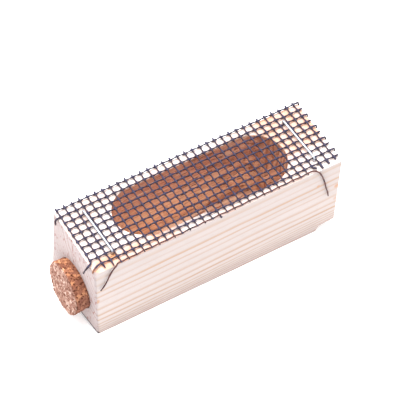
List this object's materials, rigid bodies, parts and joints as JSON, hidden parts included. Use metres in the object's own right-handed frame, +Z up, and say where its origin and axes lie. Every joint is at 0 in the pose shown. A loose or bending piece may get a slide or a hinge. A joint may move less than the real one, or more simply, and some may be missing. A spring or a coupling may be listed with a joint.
{
  "type": "queen cage",
  "caption": "Small wooden queen bee cage: a softwood block with a milled chamber under a stapled wire screen, a cork stopper in one end and a candy hole in the other.",
  "frame": {"origin": "middle of the block's underside", "axes": "+Z up through the screen; +X along the length, away from the cork; +Y to the side with the thin chamber wall"},
  "size_m": [0.0674, 0.0202, 0.0247],
  "materials": {
    "softwood": "planed, unfinished",
    "agglomerated_cork": "cut cork granules, matt",
    "staple_wire": "bright galvanised wire",
    "screen_wire": "dark enamelled steel wire"
  },
  "bodies": {
    "cage": {"wood_block": "softwood", "staple_left": "staple_wire", "staple_right": "staple_wire", "long_wire_01": "screen_wire", "long_wire_02": "screen_wire", "long_wire_03": "screen_wire", "long_wire_04": "screen_wire", "long_wire_05": "screen_wire", "long_wire_06": "screen_wire", "long_wire_07": "screen_wire", "long_wire_08": "screen_wire", "long_wire_09": "screen_wire", "long_wire_10": "screen_wire", "long_wire_11": "screen_wire", "cross_wire_01": "screen_wire", "cross_wire_02": "screen_wire", "cross_wire_03": "screen_wire", "cross_wire_04": "screen_wire", "cross_wire_05": "screen_wire", "cross_wire_06": "screen_wire", "cross_wire_07": "screen_wire", "cross_wire_08": "screen_wire", "cross_wire_09": "screen_wire", "cross_wire_10": "screen_wire", "cross_wire_11": "screen_wire", "cross_wire_12": "screen_wire", "cross_wire_13": "screen_wire", "cross_wire_14": "screen_wire", "cross_wire_15": "screen_wire", "cross_wire_16": "screen_wire", "cross_wire_17": "screen_wire", "cross_wire_18": "screen_wire", "cross_wire_19": "screen_wire", "cross_wire_20": "screen_wire", "cross_wire_21": "screen_wire", "cross_wire_22": "screen_wire", "cross_wire_23": "screen_wire", "cross_wire_24": "screen_wire", "cross_wire_25": "screen_wire", "cross_wire_26": "screen_wire", "cross_wire_27": "screen_wire", "cross_wire_28": "screen_wire", "cross_wire_29": "screen_wire", "cross_wire_30": "screen_wire", "cross_wire_31": "screen_wire", "cross_wire_32": "screen_wire", "cross_wire_33": "screen_wire"},
    "cork": {"cork_plug": "agglomerated_cork"}
  },
  "joints": [
    {"name": "cork_pull", "type": "slide", "parent": "cage", "child": "cork", "axis": [-1, 0, 0], "range_m": [0, 0.02]}
  ]
}
